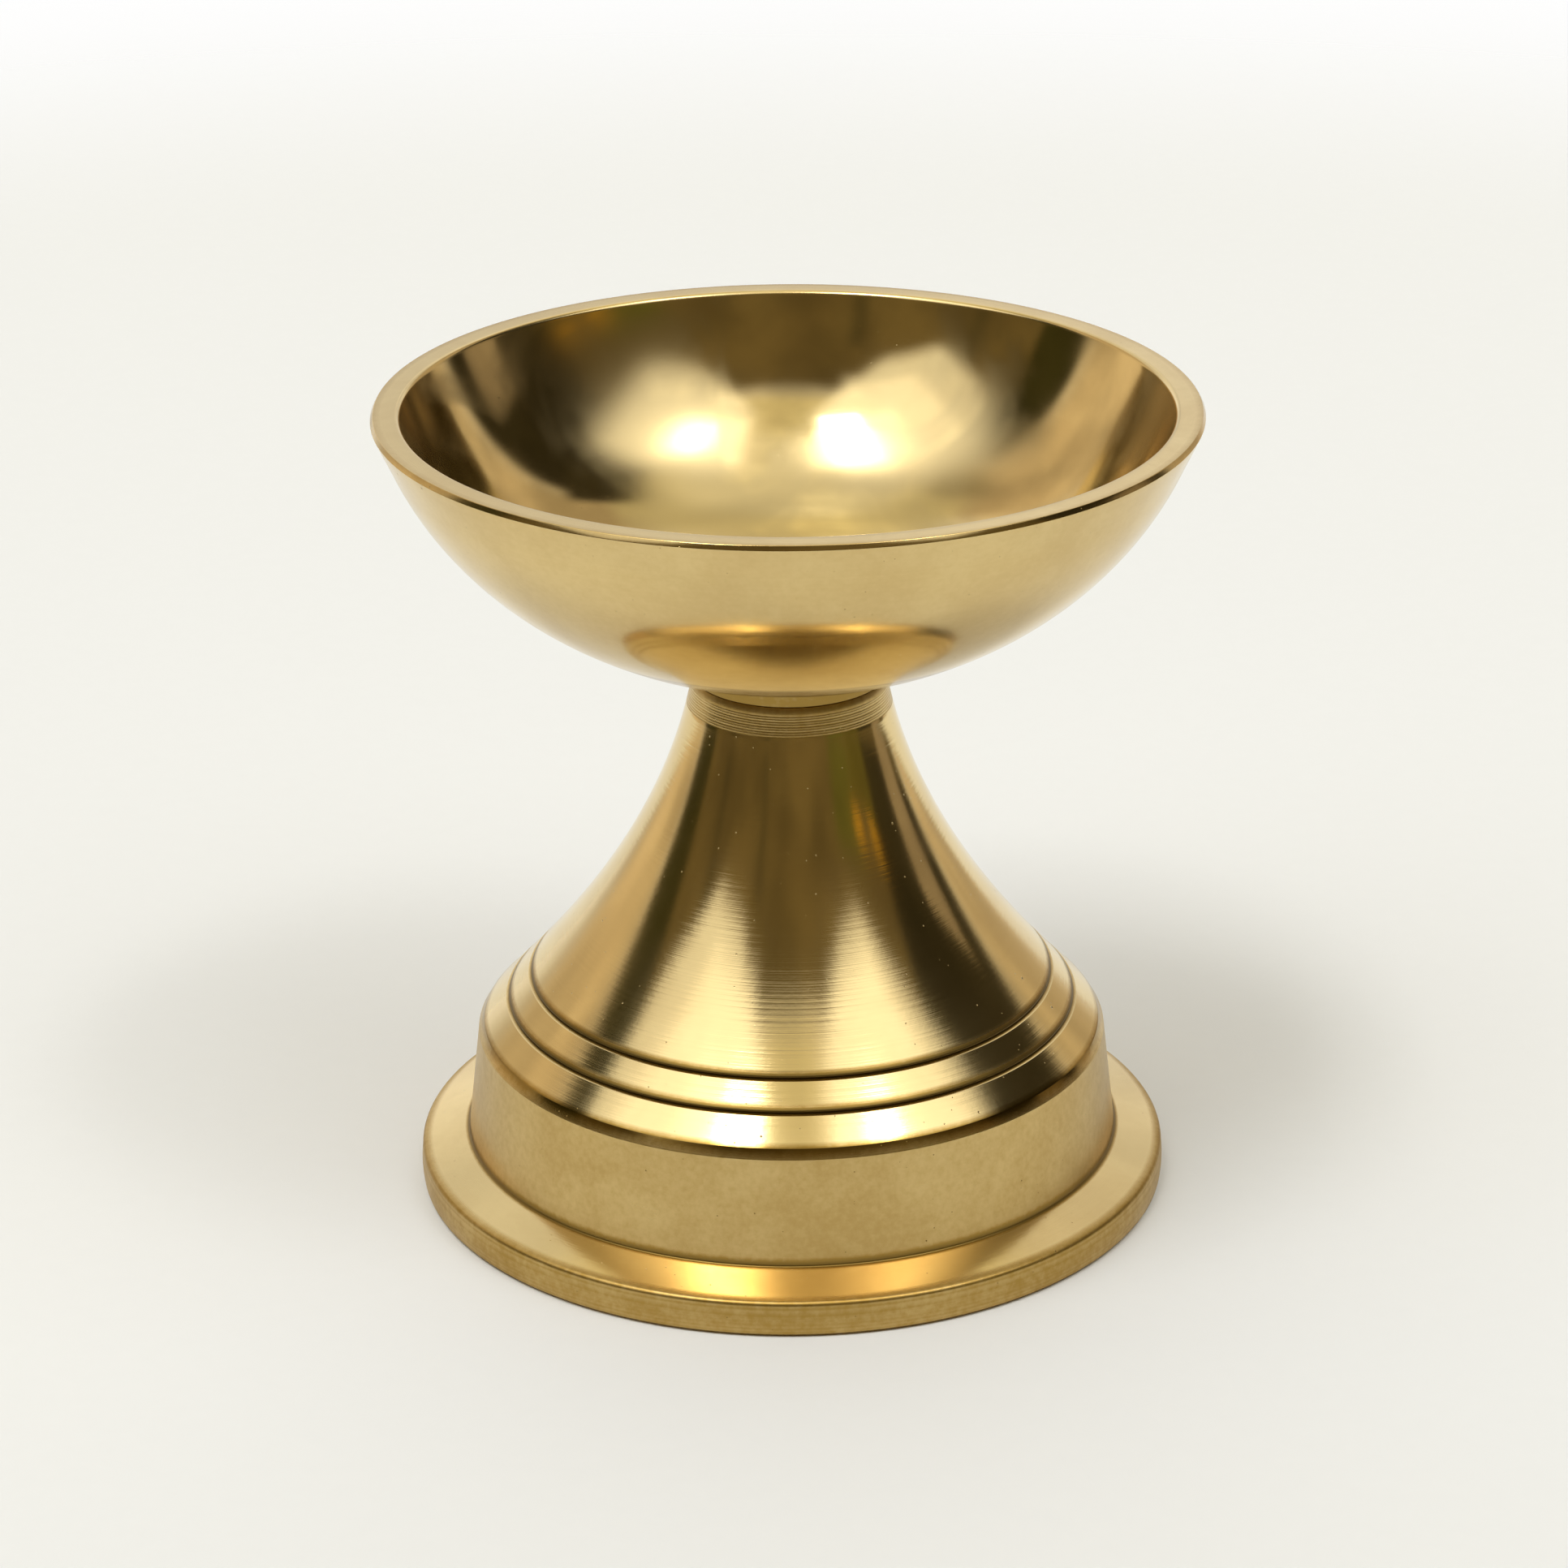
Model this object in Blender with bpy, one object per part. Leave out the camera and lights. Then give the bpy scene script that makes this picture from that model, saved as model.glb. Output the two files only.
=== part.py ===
"""Diya oil lamp: a turned brass bowl screwed onto a hollow bell-shaped pedestal.

Metres, +Z up. The origin is the middle of the foot, on the table; every piece is turned about the Z axis.
The bowl and the pedestal meet at a seam round the neck and are held by a short threaded stud, hidden
inside: it is fixed in a shallow hole under the bowl and screws down into the pedestal's neck.
"""

import math

import bmesh
import bpy
from mathutils import Vector

# ---------------------------------------------------------------- driving dimensions, heights from the table
LAMP_HEIGHT = 0.0657
RIM_RADIUS = 0.0325
FOOT_RADIUS = 0.0306
SEAM_HEIGHT = 0.0433
NECK_RADIUS = 0.00775
GAP = 0.0003                    # clearance between touching pieces
WALL = 0.0022                   # wall thickness of both castings

# The bowl's outside: the lower part of an ellipse centred above the rim, flaring straight to the lip.
BOWL_CENTRE_RISE = 0.0064       # height of the ellipse's centre above the rim
BOWL_HALF_WIDTH = 0.0332
BOWL_HALF_HEIGHT = 0.0280
FLARE_HEIGHT = 0.0031           # the ellipse ends this far below the rim
# The well: the lower part of a superellipse, whose floor is flatter than an ellipse's.
WELL_CENTRE_RISE = 0.0088
WELL_POWER_ACROSS = 3.4
WELL_POWER_UP = 1.56
FLOOR_HEIGHT = 0.0481           # the lowest point of the well
LIP_ROUND = 0.0004              # the lip's inner edge
LIP_BEVEL_WIDTH = 0.00021       # the lip's outer edge
LIP_BEVEL_HEIGHT = 0.00038
COLLAR_ROUND = 0.0005

# The pedestal: a parabolic bell, a bevelled shoulder, a slightly tapered wall and a flange.
BELL_SLOPE_AT_NECK = 0.18       # how fast the bell widens where it leaves the neck
SHOULDER_RADIUS = 0.0255        # where the bell would meet the wall without the bevel
SHOULDER_HEIGHT = 0.01325
BEVEL_TOP = 0.0136              # the shoulder's bevel runs from here on the bell to the top of the wall
WALL_TOP_RADIUS = 0.0256
WALL_TOP_HEIGHT = 0.01284
CREASE_RADIUS = 0.0266          # where the wall meets the flange
CREASE_HEIGHT = 0.0041
CREASE_ROUND = 0.0002
FLANGE_TOP_RADIUS = 0.03012     # the outer edge of the flange's upper face
FLANGE_TOP_HEIGHT = 0.00305
EDGE_HEIGHT = 0.0025            # height of the flange's edge, below its bevel
NECK_SOLID = 0.0090             # length of solid neck that takes the stud
ROOF_ROUND = 0.0015
HOLLOW_ROUND = 0.0010
HOLLOW_FOOT_RADIUS = 0.0245
FOOT_CHAMFER = 0.0003
GROOVE_HEIGHTS = (0.01772, 0.01566)
GROOVE_WIDTH = 0.00034          # measured up the axis
GROOVE_DEPTH = 0.0003
GROOVE_LEAN = 0.00008           # how far its bed lies below its middle

# The stud: a 5 mm metric coarse thread.
THREAD_PITCH = 0.0008
THREAD_RADIUS = 0.0025
THREAD_TURNS_IN_BOWL = 2
THREAD_TURNS_IN_NECK = 10
THREAD_DEPTH = 0.6134 * THREAD_PITCH
STUD_CHAMFER = 0.0005

# ---------------------------------------------------------------- mesh resolution
SEGMENTS = 64                   # facets round the axis
THREAD_SEGMENTS = 24
BOWL_STEPS = 12
BELL_STEPS = 8
ROUND_STEPS = 3
MERGE_DISTANCE = 1e-6
SHARP_ANGLE = math.radians(30)

BORE_RADIUS = THREAD_RADIUS + GAP
SEAT_HEIGHT = SEAM_HEIGHT + GAP / 2         # underside of the bowl's collar
NECK_TOP = SEAM_HEIGHT - GAP / 2            # top face of the pedestal's neck
STUD_TOP = SEAM_HEIGHT + THREAD_TURNS_IN_BOWL * THREAD_PITCH
STUD_BOTTOM = SEAM_HEIGHT - THREAD_TURNS_IN_NECK * THREAD_PITCH


# ---------------------------------------------------------------- outline tools
def spaced(start, end, steps):
    """Evenly spaced values from start to end, both included."""
    return [start + (end - start) * i / steps for i in range(steps + 1)]


def rounded(outline):
    """Turn (radius, height, fillet) corners into points, with an arc at each corner that has a fillet."""
    points = []
    for i, (radius, height, fillet) in enumerate(outline):
        corner = Vector((radius, height))
        if fillet == 0.0:
            points.append(corner)
            continue
        to_before = (Vector(outline[i - 1][:2]) - corner).normalized()
        to_after = (Vector(outline[(i + 1) % len(outline)][:2]) - corner).normalized()
        half_angle = to_before.angle(to_after) / 2
        centre = corner + (to_before + to_after).normalized() * fillet / math.sin(half_angle)
        start = corner + to_before * fillet / math.tan(half_angle) - centre
        end = corner + to_after * fillet / math.tan(half_angle) - centre
        sweep = math.pi - 2 * half_angle
        for t in spaced(0.0, 1.0, ROUND_STEPS):
            blend = start * math.sin((1 - t) * sweep) + end * math.sin(t * sweep)
            points.append(centre + blend / math.sin(sweep))
    return points


# ---------------------------------------------------------------- solid tools
def brass(name, colour, roughness):
    """A metallic material in the piece's own shade of brass."""
    material = bpy.data.materials.new(name)
    material.use_nodes = True
    shader = material.node_tree.nodes["Principled BSDF"]
    shader.inputs["Base Color"].default_value = (*colour, 1.0)
    shader.inputs["Metallic"].default_value = 1.0
    shader.inputs["Roughness"].default_value = roughness
    return material


def add_object(name, bm, origin_height, material):
    """Make an object whose origin is on the turning axis at origin_height."""
    bmesh.ops.translate(bm, verts=bm.verts, vec=(0.0, 0.0, -origin_height))
    mesh = bpy.data.meshes.new(name)
    bm.to_mesh(mesh)
    bm.free()
    mesh.shade_smooth()
    mesh.set_sharp_from_angle(angle=SHARP_ANGLE)
    mesh.materials.append(material)
    piece = bpy.data.objects.new(name, mesh)
    piece.location.z = origin_height
    bpy.context.collection.objects.link(piece)
    return piece


def turned(outline, closed, segments):
    """Spin an outline of (radius, height) points about Z into a closed surface."""
    bm = bmesh.new()
    verts = [bm.verts.new((radius, 0.0, height)) for radius, height in outline]
    edges = [bm.edges.new(pair) for pair in zip(verts, verts[1:])]
    if closed:
        edges.append(bm.edges.new((verts[-1], verts[0])))
    bmesh.ops.spin(bm, geom=verts + edges, cent=(0.0, 0.0, 0.0), axis=(0.0, 0.0, 1.0),
                   angle=2 * math.pi, steps=segments, use_merge=True)
    bmesh.ops.remove_doubles(bm, verts=bm.verts, dist=MERGE_DISTANCE)
    bmesh.ops.recalc_face_normals(bm, faces=bm.faces)
    return bm


# ---------------------------------------------------------------- the bowl
def bowl_outline():
    """From the middle of the oil well up to the lip, down the outside, and in under the collar."""
    # Both curves are drawn in equal steps of their own angle, counted from their lowest point.
    well_half_height = LAMP_HEIGHT + WELL_CENTRE_RISE - FLOOR_HEIGHT
    rim_angle = math.acos((WELL_CENTRE_RISE / well_half_height) ** (WELL_POWER_UP / 2))
    well_half_width = (RIM_RADIUS - WALL) / math.sin(rim_angle) ** (2 / WELL_POWER_ACROSS)
    well = [(well_half_width * math.sin(a) ** (2 / WELL_POWER_ACROSS),
             FLOOR_HEIGHT + well_half_height * (1 - math.cos(a) ** (2 / WELL_POWER_UP)), 0.0)
            for a in spaced(0.0, rim_angle, BOWL_STEPS)]
    well[-1] = (*well[-1][:2], LIP_ROUND)

    lip = [(RIM_RADIUS - LIP_BEVEL_WIDTH, LAMP_HEIGHT, 0.0), (RIM_RADIUS, LAMP_HEIGHT - LIP_BEVEL_HEIGHT, 0.0)]

    top_angle = math.acos((BOWL_CENTRE_RISE + FLARE_HEIGHT) / BOWL_HALF_HEIGHT)
    collar_angle = math.asin(NECK_RADIUS / BOWL_HALF_WIDTH)
    centre = LAMP_HEIGHT + BOWL_CENTRE_RISE
    outside = [(BOWL_HALF_WIDTH * math.sin(a), centre - BOWL_HALF_HEIGHT * math.cos(a), 0.0)
               for a in spaced(top_angle, collar_angle, BOWL_STEPS)]
    outside[-1] = (*outside[-1][:2], COLLAR_ROUND)

    hole_end = STUD_TOP + GAP
    underside = [(NECK_RADIUS, SEAT_HEIGHT, 0.0), (BORE_RADIUS, SEAT_HEIGHT, 0.0),
                 (BORE_RADIUS, hole_end, 0.0), (0.0, hole_end, 0.0)]
    return rounded(well + lip + outside + underside)


def make_bowl():
    material = brass("bowl_brass", (0.72, 0.53, 0.24), 0.28)
    return add_object("bowl", turned(bowl_outline(), False, SEGMENTS), SEAT_HEIGHT, material)


# ---------------------------------------------------------------- the pedestal
def bell_radius(height):
    """The bell's outer radius: a parabola from the neck down to the shoulder."""
    drop = NECK_TOP - height
    full_drop = NECK_TOP - SHOULDER_HEIGHT
    growth = SHOULDER_RADIUS - NECK_RADIUS - BELL_SLOPE_AT_NECK * full_drop
    return NECK_RADIUS + BELL_SLOPE_AT_NECK * drop + growth * (drop / full_drop) ** 2


def bell_wall_width(height):
    """Horizontal width of the bell's wall, which is WALL thick square to its surface."""
    slope = (bell_radius(height - WALL) - bell_radius(height + WALL)) / (2 * WALL)
    return WALL * math.hypot(1.0, slope)


def bell_outside():
    """Down the bell to the shoulder's bevel, with a V-groove at each groove height."""
    lowest_groove_edge = min(GROOVE_HEIGHTS) - GROOVE_WIDTH / 2
    highest_groove_edge = max(GROOVE_HEIGHTS) + GROOVE_WIDTH / 2
    points = [(bell_radius(h), h, 0.0) for h in spaced(NECK_TOP, highest_groove_edge, BELL_STEPS)]
    points.pop()
    for height in GROOVE_HEIGHTS:
        top = height + GROOVE_WIDTH / 2
        bottom = height - GROOVE_WIDTH / 2
        points.append((bell_radius(top), top, 0.0))
        bed = height - GROOVE_LEAN
        points.append((bell_radius(bed) - GROOVE_DEPTH, bed, 0.0))
        points.append((bell_radius(bottom), bottom, 0.0))
    points += [(bell_radius(h), h, 0.0) for h in spaced(lowest_groove_edge, BEVEL_TOP, 2)[1:]]
    return points


def bell_inside():
    """Up the hollow side of the bell, from behind the shoulder to the solid neck."""
    roof = NECK_TOP - NECK_SOLID
    heights = spaced(SHOULDER_HEIGHT - WALL / 2, roof, BELL_STEPS)
    points = [[bell_radius(h) - bell_wall_width(h), h, 0.0] for h in heights]
    points[0][2] = HOLLOW_ROUND
    points[-1][2] = ROOF_ROUND
    return points


def pedestal_outline():
    """One closed loop: down the outside, in under the foot, up the hollow, and up the stud's hole."""
    foot = [
        (WALL_TOP_RADIUS, WALL_TOP_HEIGHT, 0.0),
        (CREASE_RADIUS, CREASE_HEIGHT, CREASE_ROUND),
        (FLANGE_TOP_RADIUS, FLANGE_TOP_HEIGHT, 0.0),
        (FOOT_RADIUS, EDGE_HEIGHT, 0.0),
        (FOOT_RADIUS, FOOT_CHAMFER, 0.0),
        (FOOT_RADIUS - FOOT_CHAMFER, 0.0, 0.0),
        (HOLLOW_FOOT_RADIUS + FOOT_CHAMFER, 0.0, 0.0),
        (HOLLOW_FOOT_RADIUS, FOOT_CHAMFER, 0.0),
    ]
    stud_hole = [(BORE_RADIUS, NECK_TOP - NECK_SOLID, 0.0), (BORE_RADIUS, NECK_TOP, 0.0)]
    return rounded(bell_outside() + foot + bell_inside() + stud_hole)


def make_pedestal():
    material = brass("pedestal_brass", (0.68, 0.49, 0.20), 0.32)
    return add_object("pedestal", turned(pedestal_outline(), True, SEGMENTS), 0.0, material)


# ---------------------------------------------------------------- the joining stud
def helical_rod(bottom, top):
    """A closed rod whose whole surface is one right-handed V-thread, running past bottom and top."""
    root_radius = THREAD_RADIUS - THREAD_DEPTH
    steps = round((top - bottom) / THREAD_PITCH + 1) * THREAD_SEGMENTS
    start = bottom - 1.5 * THREAD_PITCH
    bm = bmesh.new()

    def ring_vert(radius, step, rise):
        angle = 2 * math.pi * step / THREAD_SEGMENTS
        height = start + THREAD_PITCH * (step / THREAD_SEGMENTS + rise)
        return bm.verts.new((radius * math.cos(angle), radius * math.sin(angle), height))

    roots = [ring_vert(root_radius, step, 0.0) for step in range(steps + THREAD_SEGMENTS + 1)]
    crests = [ring_vert(THREAD_RADIUS, step, 0.5) for step in range(steps + 1)]
    for k in range(steps):
        above = k + THREAD_SEGMENTS
        bm.faces.new((roots[k], roots[k + 1], crests[k + 1], crests[k]))
        bm.faces.new((crests[k], crests[k + 1], roots[above + 1], roots[above]))

    bottom_loop = roots[:THREAD_SEGMENTS + 1] + [crests[0]]
    top_loop = roots[-THREAD_SEGMENTS - 1:] + [crests[-1]]
    for loop, height in ((bottom_loop, bottom_loop[0].co.z), (top_loop, top_loop[-2].co.z)):
        hub = bm.verts.new((0.0, 0.0, height))
        for a, b in zip(loop, loop[1:] + loop[:1]):
            bm.faces.new((hub, a, b))
    bmesh.ops.recalc_face_normals(bm, faces=bm.faces)
    return bm


def stud_blank():
    """The plain chamfered rod that the thread is cut on."""
    end_radius = THREAD_RADIUS - STUD_CHAMFER
    outline = [
        (0.0, STUD_TOP),
        (end_radius, STUD_TOP),
        (THREAD_RADIUS + GAP, STUD_TOP - STUD_CHAMFER - GAP),
        (THREAD_RADIUS + GAP, STUD_BOTTOM + STUD_CHAMFER + GAP),
        (end_radius, STUD_BOTTOM),
        (0.0, STUD_BOTTOM),
    ]
    return turned(outline, False, THREAD_SEGMENTS)


def make_joining_stud():
    material = brass("stud_brass", (0.70, 0.50, 0.22), 0.38)
    stud = add_object("joining_stud", helical_rod(STUD_BOTTOM, STUD_TOP), SEAM_HEIGHT, material)
    blank = add_object("stud_blank", stud_blank(), SEAM_HEIGHT, material)
    blank.hide_render = True
    blank.display_type = "WIRE"
    cut = stud.modifiers.new("cut_to_length", "BOOLEAN")
    cut.operation = "INTERSECT"
    cut.solver = "EXACT"
    cut.object = blank
    return stud, blank


# ---------------------------------------------------------------- the lamp
def attach(child, parent):
    """Parent a piece without moving it: both origins lie on the turning axis."""
    child.location.z -= parent.location.z
    child.parent = parent


def main():
    for old in list(bpy.data.objects):
        bpy.data.objects.remove(old, do_unlink=True)
    pedestal = make_pedestal()
    stud, blank = make_joining_stud()
    bowl = make_bowl()
    attach(bowl, stud)
    attach(blank, stud)
    attach(stud, pedestal)


main()
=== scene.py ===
"""Looks for the brass diya oil lamp: finely turned meshes, procedural brass, a pale floor and a soft studio.

The frame's bowl, pedestal and joining stud are replaced by finer copies of the same shapes, which keep the
frame's sizes and add the tool marks, rounded edges and hand-polished unevenness of the real castings.
"""

import math
from types import SimpleNamespace

import bmesh
import bpy
from mathutils import Matrix, Vector, noise


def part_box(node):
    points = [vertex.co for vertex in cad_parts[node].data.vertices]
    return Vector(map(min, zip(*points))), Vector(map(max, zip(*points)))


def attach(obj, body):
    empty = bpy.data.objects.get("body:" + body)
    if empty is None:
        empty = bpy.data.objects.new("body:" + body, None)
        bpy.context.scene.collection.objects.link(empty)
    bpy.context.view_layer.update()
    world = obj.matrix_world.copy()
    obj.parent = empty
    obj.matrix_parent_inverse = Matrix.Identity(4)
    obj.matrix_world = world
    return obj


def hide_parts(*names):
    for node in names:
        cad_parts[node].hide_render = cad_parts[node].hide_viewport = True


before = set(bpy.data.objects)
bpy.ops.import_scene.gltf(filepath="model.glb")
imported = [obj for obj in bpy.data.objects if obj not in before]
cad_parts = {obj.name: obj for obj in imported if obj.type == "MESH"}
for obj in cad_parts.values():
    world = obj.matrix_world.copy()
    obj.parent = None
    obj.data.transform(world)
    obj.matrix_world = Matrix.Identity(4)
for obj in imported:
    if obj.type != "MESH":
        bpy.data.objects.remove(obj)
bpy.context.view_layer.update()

# ---------------------------------------------------------------- sizes, in metres; heights from the table
BOWL_LOW, BOWL_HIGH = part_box("bowl")
_, PEDESTAL_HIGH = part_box("pedestal")
STUD_LOW, STUD_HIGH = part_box("joining_stud")

LAMP_HEIGHT = BOWL_HIGH.z
RIM_RADIUS = BOWL_HIGH.x
SEAM_HEIGHT = (BOWL_LOW.z + PEDESTAL_HIGH.z) / 2
STUD_RADIUS = STUD_HIGH.x

NECK_RADIUS = 0.00775
WALL = 0.0022
GAP = 0.0003                    # between the stud and its holes
HOLE_RADIUS = STUD_RADIUS + GAP

# The bowl's outside is the lower part of an ellipse centred above the rim; its well, of a superellipse.
BOWL_CENTRE_RISE = 0.0064
BOWL_HALF_WIDTH = 0.0332
BOWL_HALF_HEIGHT = 0.0280
WELL_CENTRE_RISE = 0.0088
WELL_POWER_ACROSS = 3.4
WELL_POWER_UP = 1.56
FLOOR_HEIGHT = 0.0481
LIP_ROUND = 0.0004              # the lip's inner edge
LIP_BEVEL_WIDTH = 0.00021       # its outer edge
LIP_BEVEL_HEIGHT = 0.00038
LIP_BEVEL_ROUND = 0.00010
FLARE_HEIGHT = 0.0031           # the bowl flares straight from its ellipse to the lip over this height
BASE_RADIUS = 0.0195            # nearer the axis than this, the bowl's underside gets painted shade
COLLAR_ROUND = 0.0005

# The pedestal: a parabolic bell, a bevelled shoulder, a slightly tapered wall and a flange.
BELL_SLOPE_AT_NECK = 0.18
SHOULDER_RADIUS = 0.0255        # where the bell would meet the wall without the bevel
SHOULDER_HEIGHT = 0.01325
BEVEL_TOP = 0.0136              # the shoulder's bevel runs from here on the bell to the top of the wall
WALL_TOP_RADIUS = 0.0256
WALL_TOP_HEIGHT = 0.01284
BEVEL_ROUND = 0.0002
CREASE_RADIUS = 0.0266          # where the wall meets the flange
CREASE_HEIGHT = 0.0041
CREASE_ROUND = 0.0002
CREASE_WIDTH = 0.0004           # how far the crease's painted shade reaches onto the flange
FLANGE_RADIUS = 0.0305          # at the table; the edge bulges out a little above it
FLANGE_BULGE = 0.0001
FLANGE_TOP_HEIGHT = 0.00294     # where the flange's upper face would meet its edge without the rounding
EDGE_ROUND = 0.00045
NECK_SOLID = 0.0090             # the neck is solid this far below the seam
ROOF_ROUND = 0.0015             # the hollow's corner under the neck
HOLLOW_ROUND = 0.0010           # its corner behind the shoulder
HOLLOW_FOOT_RADIUS = 0.0245     # its radius at the table
FOOT_CHAMFER = 0.0003

# Turned details.
GROOVE_HEIGHTS = (0.01772, 0.01566)
GROOVE_WIDTH = 0.00034
GROOVE_DEPTH = 0.0003
GROOVE_LEAN = 2.4               # above 1, a cut is deepest below its middle
RING_TOP = 0.04262              # the uppermost of the tool marks left round the neck
RING_SPACING = 0.00020
RING_COUNT = 9
RING_WIDTH = 0.00010
RING_DEPTH = 0.000006
RING_LEAN = 1.0
SHALLOW_RING = 0.6              # every second ring has only this share of the depth
SEAM_CHAMFER = 0.00006          # on both edges of the seam
SEAM_LINE = 0.00006             # the hairline between the bowl's collar and the neck
SEAT_HEIGHT = SEAM_HEIGHT + SEAM_LINE / 2
NECK_TOP = SEAM_HEIGHT - SEAM_LINE / 2

# The stud: a 5 mm metric coarse thread.
THREAD_PITCH = 0.0008
THREAD_DEPTH = 0.6134 * THREAD_PITCH    # the standard depth of a screw's thread
STUD_CHAMFER = 0.0005

# ---------------------------------------------------------------- mesh resolution
SEGMENTS = 192
THREAD_SEGMENTS = 96
THREAD_ROWS_PER_TURN = 10
WELL_STEPS = 72
BOWL_STEPS = 60
BELL_STEPS = 72
HOLLOW_STEPS = 40
ROUND_STEPS = 7
LONGEST_STEP = 0.0006           # straight stretches of an outline are divided to about this length
MERGE_DISTANCE = 1e-7
SHARP_ANGLE = math.radians(35)

# ---------------------------------------------------------------- finishes
# Each stretch of an outline has one: roughness, the strength of its lathe lines, pits, tarnish (above 1 it
# adds painted shade as well) and hazy clouds, and how far hand polishing has left it uneven, in metres.
FINISHES = {
    "well": (0.05, 0.10, 0.10, 0.08, 1.0, 0.00006),
    "lip": (0.14, 0.50, 0.25, 0.20, 0.0, 0.0),
    "bevel": (0.10, 0.50, 0.50, 0.60, 0.0, 0.0),
    "bowl_side": (0.09, 0.30, 0.50, 0.40, 0.15, 0.000006),
    # bowl_base: its tarnish above 1 is painted shade under the bowl
    "bowl_base": (0.09, 0.50, 0.50, 1.30, 0.2, 0.0),
    # collar: its tarnish above 1 is painted shade under the bowl
    "collar": (0.30, 0.70, 0.20, 1.25, 0.0, 0.0),
    "neck": (0.34, 0.90, 0.20, 0.90, 0.0, 0.0),
    "bell": (0.09, 2.00, 0.80, 0.05, 0.0, 0.000003),
    # groove: its tarnish above 1 is painted shade in the cuts
    "groove": (0.35, 0.40, 0.10, 1.80, 0.0, 0.0),
    # shoulder: its tarnish above 1 is painted shade on the bevel
    "shoulder": (0.08, 0.50, 0.40, 1.35, 0.0, 0.0),
    "wall": (0.26, 0.10, 1.00, 0.75, 0.0, 0.000003),
    # crease: its tarnish above 1 is painted shade in the crease
    "crease": (0.30, 0.30, 0.50, 1.60, 0.0, 0.0),
    "flange": (0.12, 0.80, 0.70, 0.10, 0.0, 0.000003),
    "edge": (0.34, 1.10, 0.80, 1.00, 0.0, 0.000003),
    "hidden": (0.45, 1.00, 1.00, 1.00, 0.0, 0.0),
}
FINISH_LABELS = ("finish_roughness", "finish_lines", "finish_pits", "finish_tarnish", "finish_clouds")
WAVE_LENGTH = 0.010             # size of the polishing unevenness
RIPPLE_LENGTH = 0.4 * WAVE_LENGTH       # a smaller one lies over it
RIPPLE_SHARE = 0.25


# ---------------------------------------------------------------- outline tools
def spaced(start, end, steps):
    """Evenly spaced values from start to end, both included."""
    return [start + (end - start) * i / steps for i in range(steps + 1)]


def point(radius, height, finish, fillet=0.0):
    """One corner of an outline; finish names the surface from this corner to the next one."""
    return {"at": Vector((radius, height)), "finish": finish, "fillet": fillet}


def beyond(outline, i, step, reach):
    """Number of steps from corner i to the first point that is at least reach away from it."""
    count = 1
    while (outline[(i + step * count) % len(outline)]["at"] - outline[i]["at"]).length < reach:
        count += 1
    return count


def corner_arc(outline, i):
    """The arc that rounds corner i, and the numbers of the points that it takes the place of."""
    corner = outline[i]
    at = corner["at"]
    before = beyond(outline, i, -1, corner["fillet"])
    after = beyond(outline, i, 1, corner["fillet"])
    replaced = [(i + k) % len(outline) for k in range(1 - before, after)]
    to_before = (outline[i - before]["at"] - at).normalized()
    to_after = (outline[(i + after) % len(outline)]["at"] - at).normalized()
    half_angle = to_before.angle(to_after) / 2
    centre = at + (to_before + to_after).normalized() * corner["fillet"] / math.sin(half_angle)
    start = at + to_before * corner["fillet"] / math.tan(half_angle) - centre
    end = at + to_after * corner["fillet"] / math.tan(half_angle) - centre
    sweep = math.pi - 2 * half_angle
    arc = []
    for t in spaced(0.0, 1.0, ROUND_STEPS):
        blend = start * math.sin((1 - t) * sweep) + end * math.sin(t * sweep)
        arc.append((centre + blend / math.sin(sweep), corner["finish"]))
    return arc, replaced


def rounded(outline):
    """Replace each corner that has a fillet, and the points close to it, by an arc."""
    arcs = {}
    swallowed = set()
    for i, corner in enumerate(outline):
        if corner["fillet"] > 0.0:
            arcs[i], replaced = corner_arc(outline, i)
            swallowed.update(replaced)
    points = []
    for i, corner in enumerate(outline):
        if i in arcs:
            points += arcs[i]
        elif i not in swallowed:
            points.append((corner["at"], corner["finish"]))
    return points


def divided(points):
    """Divide long straight stretches, so that finishes blend over a short distance."""
    fine = []
    for (here, finish), (after, _) in zip(points, points[1:]):
        steps = max(1, round((after - here).length / LONGEST_STEP))
        fine += [(here.lerp(after, i / steps), finish) for i in range(steps)]
    return fine + [points[-1]]


def uneven(place):
    """Hand polishing's low bumps and hollows, about -1 to 1."""
    return noise.noise(place / WAVE_LENGTH) + RIPPLE_SHARE * noise.noise(place / RIPPLE_LENGTH)


def finish_layers(bm):
    """The values that every vertex carries for its material."""
    return [bm.verts.layers.float.new(label) for label in (*FINISH_LABELS, "along")]


def mark_finish(vert, layers, finish, along):
    """Store a finish, and the distance along the outline, in one vertex."""
    for layer, value in zip(layers, (*FINISHES[finish][:-1], along)):
        vert[layer] = value


def turned_row(bm, at, across, unevenness):
    """The ring of points, or one point on the axis, that an outline's point gives when it is turned."""
    fade = 1 - (at.x / RIM_RADIUS) ** 2         # no unevenness at the lamp's full width
    row = []
    for k in range(1 if at.x < MERGE_DISTANCE else SEGMENTS):
        angle = 2 * math.pi * k / SEGMENTS
        place = Vector((at.x * math.cos(angle), at.x * math.sin(angle), at.y))
        normal = Vector((across.x * math.cos(angle), across.x * math.sin(angle), across.y))
        move = unevenness * fade * uneven(place)
        row.append(bm.verts.new(place + normal * move))
    return row


def join_rows(bm, rows, segments):
    """The faces between each ring of points and the next; a ring may be a single point."""
    for here, after in zip(rows, rows[1:]):
        for k in range(segments):
            corners = [here[k % len(here)], here[(k + 1) % len(here)],
                       after[(k + 1) % len(after)], after[k % len(after)]]
            bm.faces.new(list(dict.fromkeys(corners)))


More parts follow.
